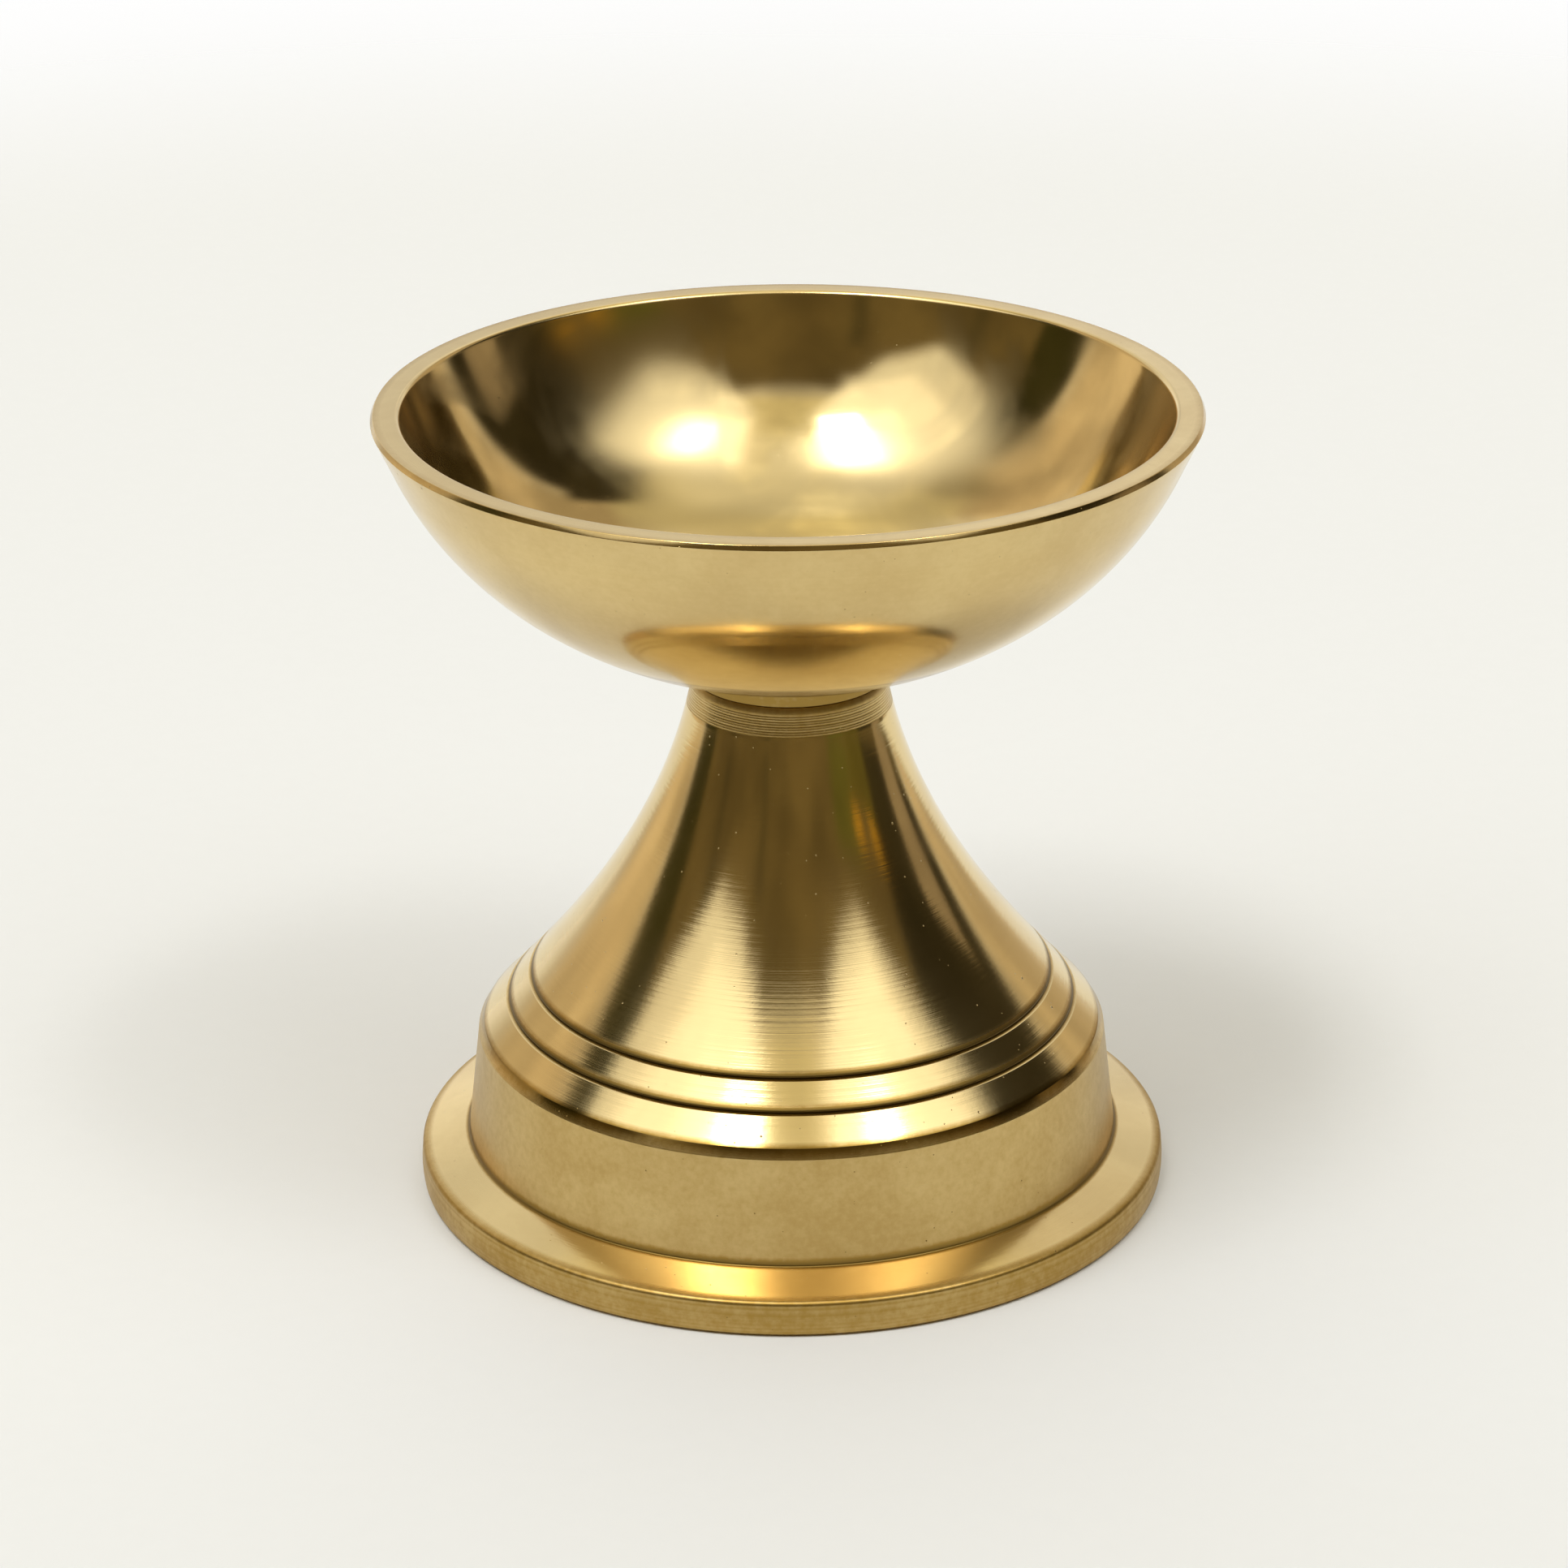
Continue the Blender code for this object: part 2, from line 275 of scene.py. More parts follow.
def turned(name, outline, closed):
    """A surface turned about Z, whose points carry their finish and their distance along the outline."""
    points = rounded(outline)
    if closed:
        points.append(points[0])
    points = divided(points)
    bm = bmesh.new()
    layers = finish_layers(bm)
    rows = []
    along = 0.0
    for i, (at, finish) in enumerate(points):
        before = points[max(i - 1, 0)][0]
        after = points[min(i + 1, len(points) - 1)][0]
        along += (at - before).length
        across = (after - before).orthogonal().normalized()
        rows.append(turned_row(bm, at, across, FINISHES[finish][-1]))
        for vert in rows[-1]:
            mark_finish(vert, layers, finish, along)
    join_rows(bm, rows, SEGMENTS)
    if closed:
        bmesh.ops.remove_doubles(bm, verts=rows[0] + rows[-1], dist=MERGE_DISTANCE)
    return new_object(name, bm)


def new_object(name, bm):
    """A smooth-shaded object with this mesh, linked into the scene."""
    bmesh.ops.recalc_face_normals(bm, faces=bm.faces)
    mesh = bpy.data.meshes.new(name)
    bm.to_mesh(mesh)
    bm.free()
    mesh.shade_smooth()
    mesh.set_sharp_from_angle(angle=SHARP_ANGLE)
    piece = bpy.data.objects.new(name, mesh)
    bpy.context.scene.collection.objects.link(piece)
    return piece


# ---------------------------------------------------------------- the bowl
def outside_finish(radius):
    """The bowl's outside gets painted shade underneath, round the collar."""
    return "bowl_side" if radius > BASE_RADIUS else "bowl_base"


def bowl_outline():
    """From the middle of the oil well up to the lip, down the outside, and in under the collar."""
    well_half_height = LAMP_HEIGHT + WELL_CENTRE_RISE - FLOOR_HEIGHT
    rim_angle = math.acos((WELL_CENTRE_RISE / well_half_height) ** (WELL_POWER_UP / 2))
    well_half_width = (RIM_RADIUS - WALL) / math.sin(rim_angle) ** (2 / WELL_POWER_ACROSS)
    well = [point(well_half_width * math.sin(a) ** (2 / WELL_POWER_ACROSS),
                  FLOOR_HEIGHT + well_half_height * (1 - math.cos(a) ** (2 / WELL_POWER_UP)), "well")
            for a in spaced(0.0, rim_angle, WELL_STEPS)]
    well[-1]["fillet"] = LIP_ROUND
    well[-1]["finish"] = "lip"

    lip = [
        point(RIM_RADIUS - LIP_BEVEL_WIDTH, LAMP_HEIGHT, "bevel", LIP_BEVEL_ROUND),
        point(RIM_RADIUS, LAMP_HEIGHT - LIP_BEVEL_HEIGHT, "bowl_side", LIP_BEVEL_ROUND),
    ]

    top_angle = math.acos((BOWL_CENTRE_RISE + FLARE_HEIGHT) / BOWL_HALF_HEIGHT)
    collar_angle = math.asin(NECK_RADIUS / BOWL_HALF_WIDTH)
    centre = LAMP_HEIGHT + BOWL_CENTRE_RISE
    outside = [point(BOWL_HALF_WIDTH * math.sin(a), centre - BOWL_HALF_HEIGHT * math.cos(a),
                     outside_finish(BOWL_HALF_WIDTH * math.sin(a)))
               for a in spaced(top_angle, collar_angle, BOWL_STEPS)]
    outside[-1]["fillet"] = COLLAR_ROUND
    outside[-1]["finish"] = "collar"

    hole_end = STUD_HIGH.z + GAP
    underside = [
        point(NECK_RADIUS, SEAT_HEIGHT + SEAM_CHAMFER, "collar"),
        point(NECK_RADIUS - SEAM_CHAMFER, SEAT_HEIGHT, "hidden"),
        point(HOLE_RADIUS, SEAT_HEIGHT, "hidden"),
        point(HOLE_RADIUS, hole_end, "hidden"),
        point(0.0, hole_end, "hidden"),
    ]
    return well + lip + outside + underside


# ---------------------------------------------------------------- the pedestal
def bell_radius(height):
    """The bell's outer radius: a parabola from the neck down to the shoulder."""
    drop = NECK_TOP - height
    full_drop = NECK_TOP - SHOULDER_HEIGHT
    growth = SHOULDER_RADIUS - NECK_RADIUS - BELL_SLOPE_AT_NECK * full_drop
    return NECK_RADIUS + BELL_SLOPE_AT_NECK * drop + growth * (drop / full_drop) ** 2


def bell_wall_width(height):
    """Horizontal width of the bell's wall, which is WALL thick square to its surface."""
    slope = (bell_radius(height - WALL) - bell_radius(height + WALL)) / (2 * WALL)
    return WALL * math.hypot(1.0, slope)


def cut_mark(height, width, depth, lean, finish):
    """A round-bottomed cut into the bell, from its upper edge to its lower edge."""
    marks = []
    for t in spaced(0.0, 1.0, ROUND_STEPS):
        at_height = height + width * (0.5 - t)
        cut = depth * math.sin(math.pi * t ** lean)
        marks.append(point(bell_radius(at_height) - cut, at_height, finish))
    marks[-1]["finish"] = "bell"
    return marks


def bell_stretch(top, bottom):
    """The plain bell between two heights, without its end points."""
    steps = max(2, round(BELL_STEPS * (top - bottom) / (NECK_TOP - SHOULDER_HEIGHT)))
    return [point(bell_radius(h), h, "bell") for h in spaced(top, bottom, steps)[1:-1]]


def bell_outside():
    """Down the bell: the tool marks below the seam, the polished slope, and the two grooves."""
    outline = [
        point(NECK_RADIUS - SEAM_CHAMFER, NECK_TOP, "neck"),
        point(NECK_RADIUS, NECK_TOP - SEAM_CHAMFER, "neck"),
    ]
    for k in range(RING_COUNT):
        depth = RING_DEPTH * (1.0 if k % 2 == 0 else SHALLOW_RING)
        outline += cut_mark(RING_TOP - k * RING_SPACING, RING_WIDTH, depth, RING_LEAN, "neck")
    above = RING_TOP - (RING_COUNT - 1) * RING_SPACING - RING_WIDTH / 2
    for height in GROOVE_HEIGHTS:
        outline += bell_stretch(above, height + GROOVE_WIDTH / 2)
        outline += cut_mark(height, GROOVE_WIDTH, GROOVE_DEPTH, GROOVE_LEAN, "groove")
        above = height - GROOVE_WIDTH / 2
    return outline + bell_stretch(above, BEVEL_TOP)


def bell_inside():
    """Up the hollow side of the bell, from behind the shoulder to the solid neck."""
    heights = spaced(SHOULDER_HEIGHT - WALL / 2, NECK_TOP - NECK_SOLID, HOLLOW_STEPS)
    points = [point(bell_radius(h) - bell_wall_width(h), h, "hidden") for h in heights]
    points[0]["fillet"] = HOLLOW_ROUND
    points[-1]["fillet"] = ROOF_ROUND
    return points


def flange_edge():
    """The flange's edge, slightly bulged, from its upper rounding down to the foot."""
    top = FLANGE_TOP_HEIGHT - EDGE_ROUND
    edge = []
    for t in spaced(0.0, 1.0, ROUND_STEPS):
        height = top + (FOOT_CHAMFER - top) * t
        edge.append(point(FLANGE_RADIUS + FLANGE_BULGE * math.sin(math.pi * t), height, "edge"))
    return edge


def pedestal_outline():
    """One closed loop: down the outside, in under the foot, up the hollow, and up the stud's hole."""
    flange_slope = (CREASE_HEIGHT - FLANGE_TOP_HEIGHT) / (FLANGE_RADIUS - CREASE_RADIUS)
    foot = [
        point(bell_radius(BEVEL_TOP), BEVEL_TOP, "shoulder", BEVEL_ROUND),
        point(WALL_TOP_RADIUS, WALL_TOP_HEIGHT, "wall", BEVEL_ROUND),
        point(CREASE_RADIUS, CREASE_HEIGHT, "crease", CREASE_ROUND),
        point(CREASE_RADIUS + CREASE_WIDTH, CREASE_HEIGHT - CREASE_WIDTH * flange_slope, "flange"),
        point(FLANGE_RADIUS, FLANGE_TOP_HEIGHT, "edge", EDGE_ROUND),
        *flange_edge(),
        point(FLANGE_RADIUS - FOOT_CHAMFER, 0.0, "hidden"),
        point(HOLLOW_FOOT_RADIUS + FOOT_CHAMFER, 0.0, "hidden"),
        point(HOLLOW_FOOT_RADIUS, FOOT_CHAMFER, "hidden"),
    ]
    stud_hole = [
        point(HOLE_RADIUS, NECK_TOP - NECK_SOLID, "hidden"),
        point(HOLE_RADIUS, NECK_TOP, "hidden"),
    ]
    return bell_outside() + foot + bell_inside() + stud_hole


# ---------------------------------------------------------------- the joining stud
def threaded_rod(name):
    """A rod whose surface is one right-handed V-thread, chamfered at both ends."""
    root_radius = STUD_RADIUS - THREAD_DEPTH
    length = STUD_HIGH.z - STUD_LOW.z
    row_count = round(length / THREAD_PITCH * THREAD_ROWS_PER_TURN)
    bm = bmesh.new()
    layers = finish_layers(bm)
    rows = [[bm.verts.new((0.0, 0.0, STUD_LOW.z))]]
    for height in spaced(STUD_LOW.z, STUD_HIGH.z, row_count):
        from_end = min(height - STUD_LOW.z, STUD_HIGH.z - height)
        end_radius = STUD_RADIUS - STUD_CHAMFER + from_end
        row = []
        for k in range(THREAD_SEGMENTS):
            turn = k / THREAD_SEGMENTS
            phase = (height / THREAD_PITCH - turn) % 1.0
            radius = min(root_radius + THREAD_DEPTH * (1 - abs(2 * phase - 1)), end_radius)
            angle = 2 * math.pi * turn
            row.append(bm.verts.new((radius * math.cos(angle), radius * math.sin(angle), height)))
        rows.append(row)
    rows.append([bm.verts.new((0.0, 0.0, STUD_HIGH.z))])
    join_rows(bm, rows, THREAD_SEGMENTS)
    for vert in bm.verts:
        mark_finish(vert, layers, "hidden", vert.co.z)
    return new_object(name, bm)


# ---------------------------------------------------------------- shader graphs
class Graph:
    """Short forms for the nodes of one material or world."""

    def __init__(self, tree):
        self.tree = tree

    def add(self, kind, inputs=None, **settings):
        """A node with the given settings; inputs maps a socket's name or number to a value or a socket."""
        node = self.tree.nodes.new(kind)
        for key, value in settings.items():
            setattr(node, key, value)
        for key, value in (inputs or {}).items():
            if isinstance(value, bpy.types.NodeSocket):
                self.tree.links.new(value, node.inputs[key])
            else:
                node.inputs[key].default_value = value
        return node

    def math(self, operation, *values):
        """The result of one sum on values or sockets."""
        return self.add("ShaderNodeMath", dict(enumerate(values)), operation=operation).outputs[0]

    def attribute(self, name):
        """A value stored in the mesh."""
        return self.add("ShaderNodeAttribute", attribute_name=name).outputs["Fac"]

    def ramp(self, value, start, end, low=0.0, high=1.0):
        """Goes smoothly from low to high as value goes from start to end."""
        inputs = {"Value": value, "From Min": start, "From Max": end, "To Min": low, "To Max": high}
        return self.add("ShaderNodeMapRange", inputs, interpolation_type="SMOOTHSTEP").outputs[0]

    def within(self, value, limits, softness):
        """1 between the two limits and 0 outside them, with soft edges."""
        low, high = limits
        rise = self.ramp(value, low - softness / 2, low + softness / 2)
        fall = self.ramp(value, high + softness / 2, high - softness / 2)
        return self.math("MULTIPLY", rise, fall)

    def noise(self, vector, size, detail=2.0, roughness=0.5, distortion=0.0):
        """Clouds from 0 to 1 whose features are about size metres across."""
        inputs = {"Vector": vector, "Scale": 1 / size, "Detail": detail, "Roughness": roughness,
                  "Distortion": distortion}
        return self.add("ShaderNodeTexNoise", inputs).outputs["Fac"]

    def lines(self, along, size, detail=1.0):
        """Random values from 0 to 1 that change only along the outline."""
        inputs = {"W": along, "Scale": 1 / size, "Detail": detail}
        return self.add("ShaderNodeTexNoise", inputs, noise_dimensions="1D").outputs["Fac"]

    def mix(self, factor, first, second, blend="MIX"):
        """One colour, or a blend of two."""
        node = self.tree.nodes.new("ShaderNodeMix")
        node.data_type = "RGBA"
        node.blend_type = blend
        for key, value in (("Factor_Float", factor), ("A_Color", first), ("B_Color", second)):
            socket = next(s for s in node.inputs if s.identifier == key)
            if isinstance(value, bpy.types.NodeSocket):
                self.tree.links.new(value, socket)
            else:
                socket.default_value = value
        return next(s for s in node.outputs if s.identifier == "Result_Color")


# ---------------------------------------------------------------- brass
BRASS = (0.83, 0.65, 0.32, 1.0)
SMUDGED_BRASS = (0.78, 0.60, 0.29, 1.0)
FILM = (0.62, 0.49, 0.25, 1.0)
TARNISH = (0.42, 0.265, 0.065, 1.0)
# The darkest colour: dirt in the pits, and painted shade in the grooves and crease, on the shoulder and
# collar, and under the bowl.
DIRT_AND_SHADE = (0.10, 0.07, 0.02, 1.0)
ANISOTROPY = 0.35

# The patterns, with their sizes in metres.
SMUDGES = {"size": 0.009, "detail": 4.0, "roughness": 0.6, "distortion": 0.4}
MOTTLING = {"size": 0.0006, "detail": 3.0, "roughness": 0.6}
CLOUDS = {"size": 0.013, "detail": 3.0, "roughness": 0.5, "distortion": 0.6}
FINE_LINES = {"size": 0.00011, "detail": 2.0}
COARSE_LINES = {"size": 0.00034, "detail": 1.0}
FADING = {"size": 0.012, "detail": 1.0}
COARSE_LINE_HEIGHT = 1.6        # the fine ones' height is 1
FADED_HEIGHT = 0.45             # the lines' height where they have faded

# Where in a pattern, whose values go from 0 to 1, an effect begins and where it is full.
SMUDGED = (0.35, 0.7)
SMUDGED_ROUGH = (0.3, 0.75)
FILMED = (0.42, 0.60)
UNFADED = (0.35, 0.65)
TARNISHED = (0.3, 0.7)
LEAST_TARNISH = 0.65            # the share of a finish's tarnish on its cleanest spots
MOTTLING_SHARE = 0.5            # what the tarnish follows; its streaks come on top
SMUDGE_SHARE = 0.5
STREAK_SHARE = 0.3

# How much roughness each adds.
SMUDGE_ROUGHNESS = 0.05
LINE_ROUGHNESS = 0.04
PIT_ROUGHNESS = 0.35
FILM_ROUGHNESS = 0.12

# Pits: one to a cell in this share of the cells, up to this radius.
LARGE_PITS = {"cell": 0.0021, "radius": 0.00016, "share": 0.20}
SMALL_PITS = {"cell": 0.0007, "radius": 0.00008, "share": 0.35}
SMALL_PIT_DEPTH = 0.7           # the large ones' depth is 1
SMALLEST_PIT = 0.4              # the smallest pit's share of the radius
PIT_FLOOR = 0.4                 # the share of a pit's radius that is its flat floor
PIT_DIRT = 0.8                  # how far dirt fills the pits

# How far each kind of relief stands out, in metres.
LINE_RELIEF = 0.0000012
SKIN_RELIEF = 0.0000035
PIT_RELIEF = 0.00004


def pits(graph, place, cell, radius, share):
    """Scattered round pits: 1 in a pit, 0 on the plain surface."""
    cells = graph.add("ShaderNodeTexVoronoi", {"Vector": place, "Scale": 1 / cell, "Randomness": 1.0})
    draw = graph.add("ShaderNodeSeparateColor", {0: cells.outputs["Color"]})
    chosen = graph.math("GREATER_THAN", draw.outputs[0], 1 - share)
    largest = radius / cell
    smallest = SMALLEST_PIT * largest
    size = graph.math("MULTIPLY_ADD", draw.outputs[1], largest - smallest, smallest)
    depth = graph.ramp(graph.math("DIVIDE", cells.outputs["Distance"], size), 1.0, PIT_FLOOR)
    return graph.math("MULTIPLY", depth, chosen)


def wear_patterns(graph):
    """The patterns that colour, roughness and relief have in common, with the mesh's own values."""
    wear = SimpleNamespace()
    place = graph.add("ShaderNodeTexCoord").outputs["Object"]
    along = graph.attribute("along")
    (wear.roughness, wear.line_strength, wear.pit_strength, wear.tarnish,
     cloudiness) = map(graph.attribute, FINISH_LABELS)

    # Broad smudges, fine mottling, and small pits in two sizes.
    wear.smudges = graph.noise(place, **SMUDGES)
    wear.mottling = graph.noise(place, **MOTTLING)
    small_pits = graph.math("MULTIPLY", pits(graph, place, **SMALL_PITS), SMALL_PIT_DEPTH)
    all_pits = graph.math("MAXIMUM", pits(graph, place, **LARGE_PITS), small_pits)
    wear.pitted = graph.math("MULTIPLY", all_pits, wear.pit_strength)

    # A dull film with ragged edges, left by old polish and oil.
    clouds = graph.noise(place, **CLOUDS)
    wear.film = graph.math("MULTIPLY", graph.ramp(clouds, *FILMED), cloudiness)

    # Lathe lines: fine ones everywhere, and coarser ones in bands. Round the piece they fade in and out.
    wear.fine_lines = graph.lines(along, **FINE_LINES)
    wear.coarse_lines = graph.lines(along, **COARSE_LINES)
    wear.fading = graph.ramp(graph.noise(place, **FADING), *UNFADED, FADED_HEIGHT, 1.0)
    return wear


def brass_colour(graph, wear):
    """The clean metal, slightly darker where smudged, brown where tarnished, dark where the pits are dirty,
    and dark with painted shade where a finish's tarnishing value is above 1.
    """
    clean = graph.mix(graph.ramp(wear.smudges, *SMUDGED), BRASS, SMUDGED_BRASS)
    streaks = graph.math("MULTIPLY", graph.math("SUBTRACT", wear.coarse_lines, 0.5), wear.line_strength)
    patchy = graph.math("MULTIPLY", wear.smudges, SMUDGE_SHARE)
    patchy = graph.math("MULTIPLY_ADD", wear.mottling, MOTTLING_SHARE, patchy)
    patchy = graph.math("MULTIPLY_ADD", streaks, STREAK_SHARE, patchy)
    brown = graph.math("MULTIPLY", wear.tarnish, graph.ramp(patchy, *TARNISHED, LEAST_TARNISH, 1.0))
    pit_dirt = graph.math("MULTIPLY", wear.pitted, PIT_DIRT)
    # Dark in the dirty pits, and painted shade wherever a finish's tarnish goes above 1.
    dirt_and_shade = graph.math("MAXIMUM", pit_dirt, graph.math("SUBTRACT", wear.tarnish, 1.0))
    dull = graph.mix(wear.film, clean, FILM)
    return graph.mix(dirt_and_shade, graph.mix(brown, dull, TARNISH), DIRT_AND_SHADE)


def brass_roughness(graph, wear):
    """The finish's own roughness, a little higher in smudges, lines, pits and film."""
    smudged = graph.ramp(wear.smudges, *SMUDGED_ROUGH)
    rough = graph.math("MULTIPLY_ADD", smudged, SMUDGE_ROUGHNESS, wear.roughness)
    rough = graph.math("MULTIPLY_ADD", wear.fine_lines, LINE_ROUGHNESS, rough)
    rough = graph.math("MULTIPLY_ADD", wear.pitted, PIT_ROUGHNESS, rough)
    return graph.math("MULTIPLY_ADD", wear.film, FILM_ROUGHNESS, rough)


def brass_relief(graph, wear):
    """The surface direction, tilted by lathe lines, the casting skin and pits."""
    line_height = graph.math("MULTIPLY_ADD", wear.coarse_lines, COARSE_LINE_HEIGHT, wear.fine_lines)
    faded_strength = graph.math("MULTIPLY", wear.line_strength, wear.fading)
    line_height = graph.math("MULTIPLY", line_height, faded_strength)
    skin = graph.math("MULTIPLY", wear.mottling, wear.pit_strength)
    lines = graph.add("ShaderNodeBump", {"Strength": 1.0, "Distance": LINE_RELIEF,
                                         "Height": line_height})
    cast = graph.add("ShaderNodeBump", {"Strength": 1.0, "Distance": SKIN_RELIEF,
                                        "Height": skin, "Normal": lines.outputs[0]})
    pitted = graph.add("ShaderNodeBump", {"Strength": 1.0, "Distance": PIT_RELIEF,
                                          "Height": wear.pitted, "Normal": cast.outputs[0]}, invert=True)
    return pitted.outputs[0]


def brass(name):
    """Turned and polished brass with its wear, driven by the finishes stored in the mesh."""
    material = bpy.data.materials.new(name)
    material.use_nodes = True
    graph = Graph(material.node_tree)
    wear = wear_patterns(graph)
    shader = material.node_tree.nodes["Principled BSDF"]
    shader.inputs["Metallic"].default_value = 1.0
    shader.inputs["Anisotropic"].default_value = ANISOTROPY
    tangent = graph.add("ShaderNodeTangent", direction_type="RADIAL", axis="Z")
    graph.tree.links.new(brass_colour(graph, wear), shader.inputs["Base Color"])
    graph.tree.links.new(brass_roughness(graph, wear), shader.inputs["Roughness"])
    graph.tree.links.new(brass_relief(graph, wear), shader.inputs["Normal"])
    graph.tree.links.new(tangent.outputs[0], shader.inputs["Tangent"])
    return material


# ---------------------------------------------------------------- the lamp
def dress(piece, node, material):
    """Let a finished piece stand for its CAD node, on that node's body and in its material slot."""
    piece.data.materials.append(material)
    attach(piece, node)
    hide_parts(node)


def make_lamp():
    """The three pieces, each with its own copy of the brass."""
    bowl = turned("turned_bowl", bowl_outline(), False)
    dress(bowl, "bowl", brass("bowl_finish"))
    pedestal = turned("turned_pedestal", pedestal_outline(), True)
    dress(pedestal, "pedestal", brass("pedestal_finish"))
    stud = threaded_rod("threaded_stud")
    dress(stud, "joining_stud", brass("stud_finish"))


# ---------------------------------------------------------------- the stage
FLOOR_RADIUS = 0.44
FLOOR_SOLID_RADIUS = 0.28       # beyond it the paper fades into the background
FLOOR_SEGMENTS = 96
PAPER = (0.86, 0.89, 0.93, 1.0)
GRAIN_TONE = 0.985              # how dark the paper's faint grain is, compared with the paper
GRAIN = {"size": 0.002, "detail": 3.0}
PAPER_ROUGHNESS = 0.9
PAPER_GLOSS = 0.1


def make_floor():
    """A round sheet of pale paper that fades out at its edge."""
    bm = bmesh.new()
    bmesh.ops.create_circle(bm, cap_ends=True, segments=FLOOR_SEGMENTS, radius=FLOOR_RADIUS)
    floor = new_object("paper_floor", bm)
    material = bpy.data.materials.new("paper")
    material.use_nodes = True
    graph = Graph(material.node_tree)
    shader = material.node_tree.nodes["Principled BSDF"]
    place = graph.add("ShaderNodeTexCoord").outputs["Object"]
    grain_colour = (*(GRAIN_TONE * c for c in PAPER[:3]), 1.0)
    tone = graph.mix(graph.noise(place, **GRAIN), PAPER, grain_colour)
    graph.tree.links.new(tone, shader.inputs["Base Color"])
    reach = graph.add("ShaderNodeVectorMath", {0: place}, operation="LENGTH").outputs["Value"]
    graph.tree.links.new(graph.ramp(reach, FLOOR_RADIUS, FLOOR_SOLID_RADIUS), shader.inputs["Alpha"])
    shader.inputs["Roughness"].default_value = PAPER_ROUGHNESS
    shader.inputs["Specular IOR Level"].default_value = PAPER_GLOSS
    floor.data.materials.append(material)


# The studio, as seen from the lamp. Azimuth 0 is the front and 90 the right; elevation 0 is the horizon.
# Each patch lies over those before it: azimuths, elevations, softness (degrees), colour. They were worked
# out from the reflections in the photograph, so what each one is can only be guessed.
TENT = (0.84, 0.82, 0.79, 1.0)
PATCHES = (
    ((121, 152), (-20, 60), 15, (0.56, 0.46, 0.32, 1.0)),         # the tent's shaded ends
    ((-140, -102), (-20, 60), 15, (0.62, 0.51, 0.36, 1.0)),
    ((-200, 200), (51, 95), 6, (0.86, 0.78, 0.52, 1.0)),          # the warm ceiling, brighter overhead
    ((-200, 200), (66, 95), 10, (1.00, 0.95, 0.78, 1.0)),
    ((-102, 121), (-40, 44), 7, (0.135, 0.100, 0.042, 1.0)),      # the dim room in front
    ((-22, 24), (15, 49), 8, (0.135, 0.100, 0.042, 1.0)),         # its wall, up between the two lights
    ((-26, -21), (8, 34), 4, (0.090, 0.070, 0.030, 1.0)),         # door frames
    ((-65, -60), (5, 30), 4, (0.090, 0.070, 0.030, 1.0)),
    ((40, 60), (3, 24), 6, (0.110, 0.105, 0.025, 1.0)),           # a plant
    ((-102, -84), (-3, 46), 4, (0.035, 0.032, 0.010, 1.0)),       # something dark green at its left end
    ((-122, -96), (47, 60), 6, (0.300, 0.250, 0.130, 1.0)),       # and something brown above that
    ((75, 121), (0, 43), 5, (0.034, 0.028, 0.014, 1.0)),          # black at its right end, reaching higher
    ((92, 126), (40, 60), 6, (0.034, 0.028, 0.014, 1.0)),
    ((99, 113), (-5, 19), 3, (0.30, 0.24, 0.17, 1.0)),            # something paler in front of the black
    ((60, 78), (0, 14), 4, (0.10, 0.085, 0.02, 1.0)),             # something green low down beside it
    ((57, 64), (15, 21), 4, (0.45, 0.25, 0.03, 1.0)),             # two small orange lamps
    ((70, 76), (15, 21), 4, (0.45, 0.25, 0.03, 1.0)),
)
ROOM_CLOUDS = {"Scale": 3.0, "Detail": 4.0}
CLOUD_RANGE = (0.3, 0.7)
CLOUD_FACTORS = (0.75, 1.3)     # how far the clouds darken and brighten the room
DEGREES = 180 / math.pi

# Two soft lights above the front, on a plane one unit above the lamp. Each is three panels, one inside
# the other, and a core: rightward limits, frontward limits, softness, brightness. Their inner front and
# outer back corners are cut off.
SOFT_LIGHTS = (
    ((-1.50, -0.15), (-0.15, 1.12), 0.30, 1.0),     # outer panels, on the left and on the right
    ((0.22, 1.18), (0.00, 1.05), 0.30, 1.0),
    ((-1.00, -0.16), (0.02, 0.86), 0.16, 1.5),      # middle panels
    ((0.22, 1.00), (0.02, 0.84), 0.16, 1.5),
    ((-0.62, -0.16), (0.12, 0.56), 0.12, 2.0),      # inner panels
    ((0.20, 0.62), (0.12, 0.56), 0.12, 2.0),
    ((-0.38, -0.18), (0.12, 0.58), 0.05, 12.0),     # cores
    ((0.40, 0.55), (0.20, 0.48), 0.05, 12.0),
)
# Each cut's slope, where it crosses the middle, and how far frontward it fades, from light to dark.
CUTS = (
    (0.85, 0.50, 0.20),
    (1.10, -1.35, -0.20),
)
LIGHT_COLOUR = (1.0, 0.98, 0.93)
LEAST_RISE = 0.01               # lower directions count as rising this much, since none may be level
BACKGROUND = (1.0, 0.998, 0.994, 1.0)


def room(graph, direction, to_right, to_front, up):
    """The colour of the tent and of all that stands in the studio, apart from the lights."""
    azimuth = graph.math("MULTIPLY", graph.math("ARCTAN2", to_right, to_front), DEGREES)
    elevation = graph.math("MULTIPLY", graph.math("ARCSINE", up), DEGREES)
    colour = TENT
    for azimuths, elevations, softness, patch_colour in PATCHES:
        mask = graph.math("MULTIPLY", graph.within(azimuth, azimuths, softness),
                          graph.within(elevation, elevations, softness))
        colour = graph.mix(mask, colour, patch_colour)
    clouds = graph.add("ShaderNodeTexNoise", {"Vector": direction, **ROOM_CLOUDS}).outputs["Fac"]
    factor = graph.ramp(clouds, *CLOUD_RANGE, *CLOUD_FACTORS)
    grey = graph.add("ShaderNodeCombineColor", {i: factor for i in range(3)}).outputs[0]
    return graph.mix(1.0, colour, grey, "MULTIPLY")


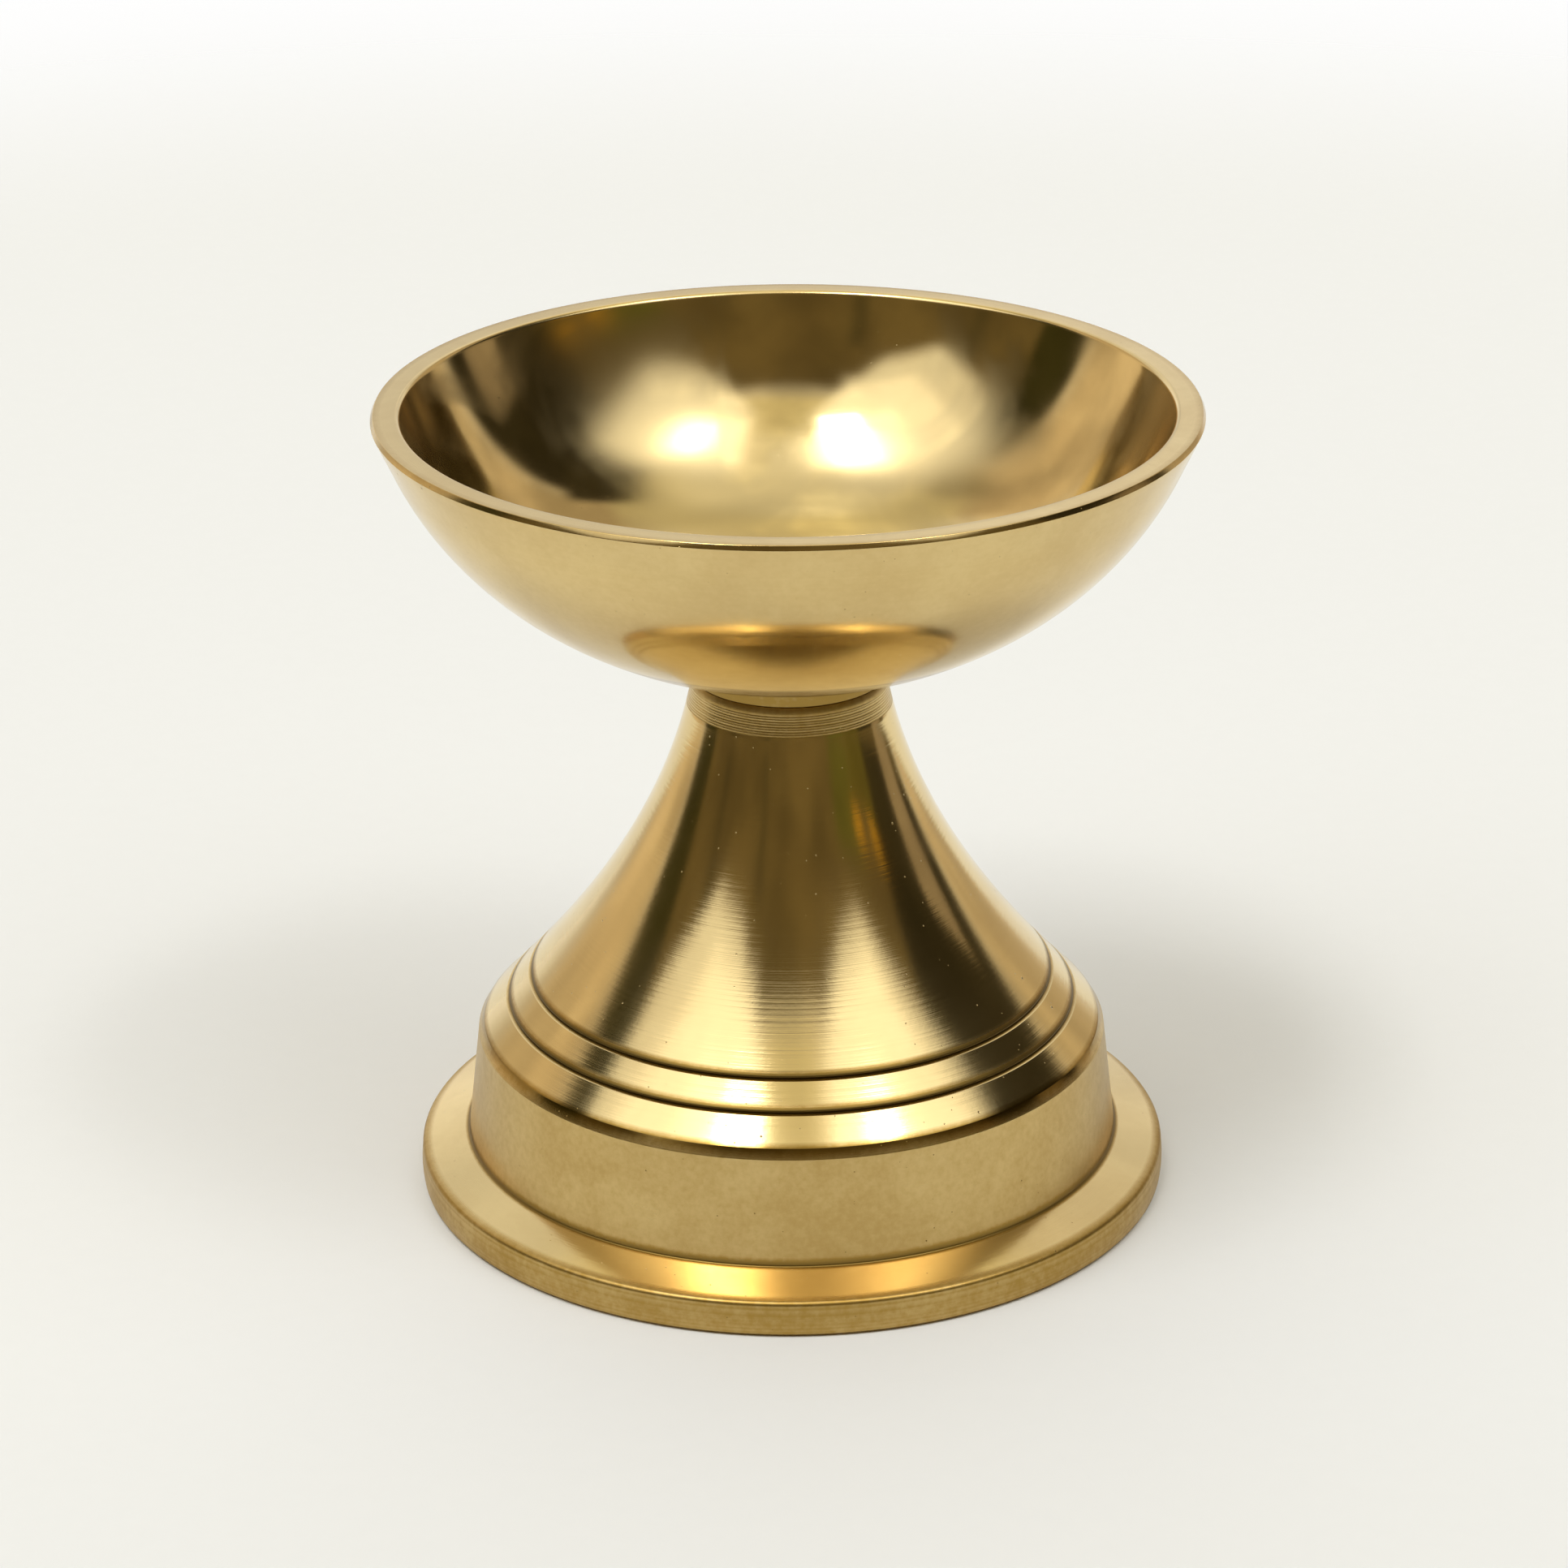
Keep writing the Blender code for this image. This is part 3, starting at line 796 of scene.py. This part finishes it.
def with_lights(graph, colour, to_right, to_front, up):
    """The room's colour with the soft lights in front of it."""
    height = graph.math("MAXIMUM", up, LEAST_RISE)
    right_on_plane = graph.math("DIVIDE", to_right, height)
    front_on_plane = graph.math("DIVIDE", to_front, height)
    uncut = 1.0
    for slope, start, fade in CUTS:
        cut_line = graph.math("MULTIPLY_ADD", graph.math("ABSOLUTE", right_on_plane), slope, start)
        past_cut = graph.math("SUBTRACT", front_on_plane, cut_line)
        uncut = graph.math("MULTIPLY", uncut, graph.ramp(past_cut, fade / 2, -fade / 2))
    for rights, fronts, softness, brightness in SOFT_LIGHTS:
        mask = graph.math("MULTIPLY", graph.within(right_on_plane, rights, softness),
                          graph.within(front_on_plane, fronts, softness))
        mask = graph.math("MULTIPLY", mask, uncut)
        colour = graph.mix(mask, colour, (*(brightness * c for c in LIGHT_COLOUR), 1.0))
    return colour


def make_world():
    """The studio that the lamp mirrors, and the plain background that the camera sees."""
    world = bpy.data.worlds.new("studio")
    bpy.context.scene.world = world
    world.use_nodes = True
    graph = Graph(world.node_tree)
    direction = graph.add("ShaderNodeTexCoord").outputs["Generated"]
    to_right, to_back, up = graph.add("ShaderNodeSeparateXYZ", {0: direction}).outputs
    to_front = graph.math("MULTIPLY", to_back, -1.0)
    colour = room(graph, direction, to_right, to_front, up)
    colour = with_lights(graph, colour, to_right, to_front, up)
    seen_directly = graph.add("ShaderNodeLightPath").outputs["Is Camera Ray"]
    colour = graph.mix(seen_directly, colour, BACKGROUND)
    background = world.node_tree.nodes["Background"]
    graph.tree.links.new(colour, background.inputs["Color"])


# ---------------------------------------------------------------- the camera
CAMERA_ELEVATION = math.radians(22.694)
CAMERA_DISTANCE = 0.3899
CAMERA_AIM = Vector((0.0, 0.0, 0.03365))
CAMERA_ROLL = math.radians(-0.33)
LENS = 111.27
SENSOR = 36.0
SHIFT_X = -0.0038


def make_camera():
    """The photograph's camera, in front of the lamp and looking slightly down on it."""
    data = bpy.data.cameras.new("camera")
    data.lens = LENS
    data.sensor_width = SENSOR
    data.shift_x = SHIFT_X
    camera = bpy.data.objects.new("camera", data)
    back = Vector((0.0, -math.cos(CAMERA_ELEVATION), math.sin(CAMERA_ELEVATION)))
    camera.location = CAMERA_AIM + CAMERA_DISTANCE * back
    facing = back.to_track_quat("Z", "Y").to_matrix().to_4x4()
    camera.rotation_euler = (facing @ Matrix.Rotation(CAMERA_ROLL, 4, "Z")).to_euler()
    bpy.context.scene.collection.objects.link(camera)
    bpy.context.scene.camera = camera


# ---------------------------------------------------------------- the scene
make_lamp()
make_floor()
make_world()
make_camera()
bpy.context.scene.view_settings.view_transform = "Standard"
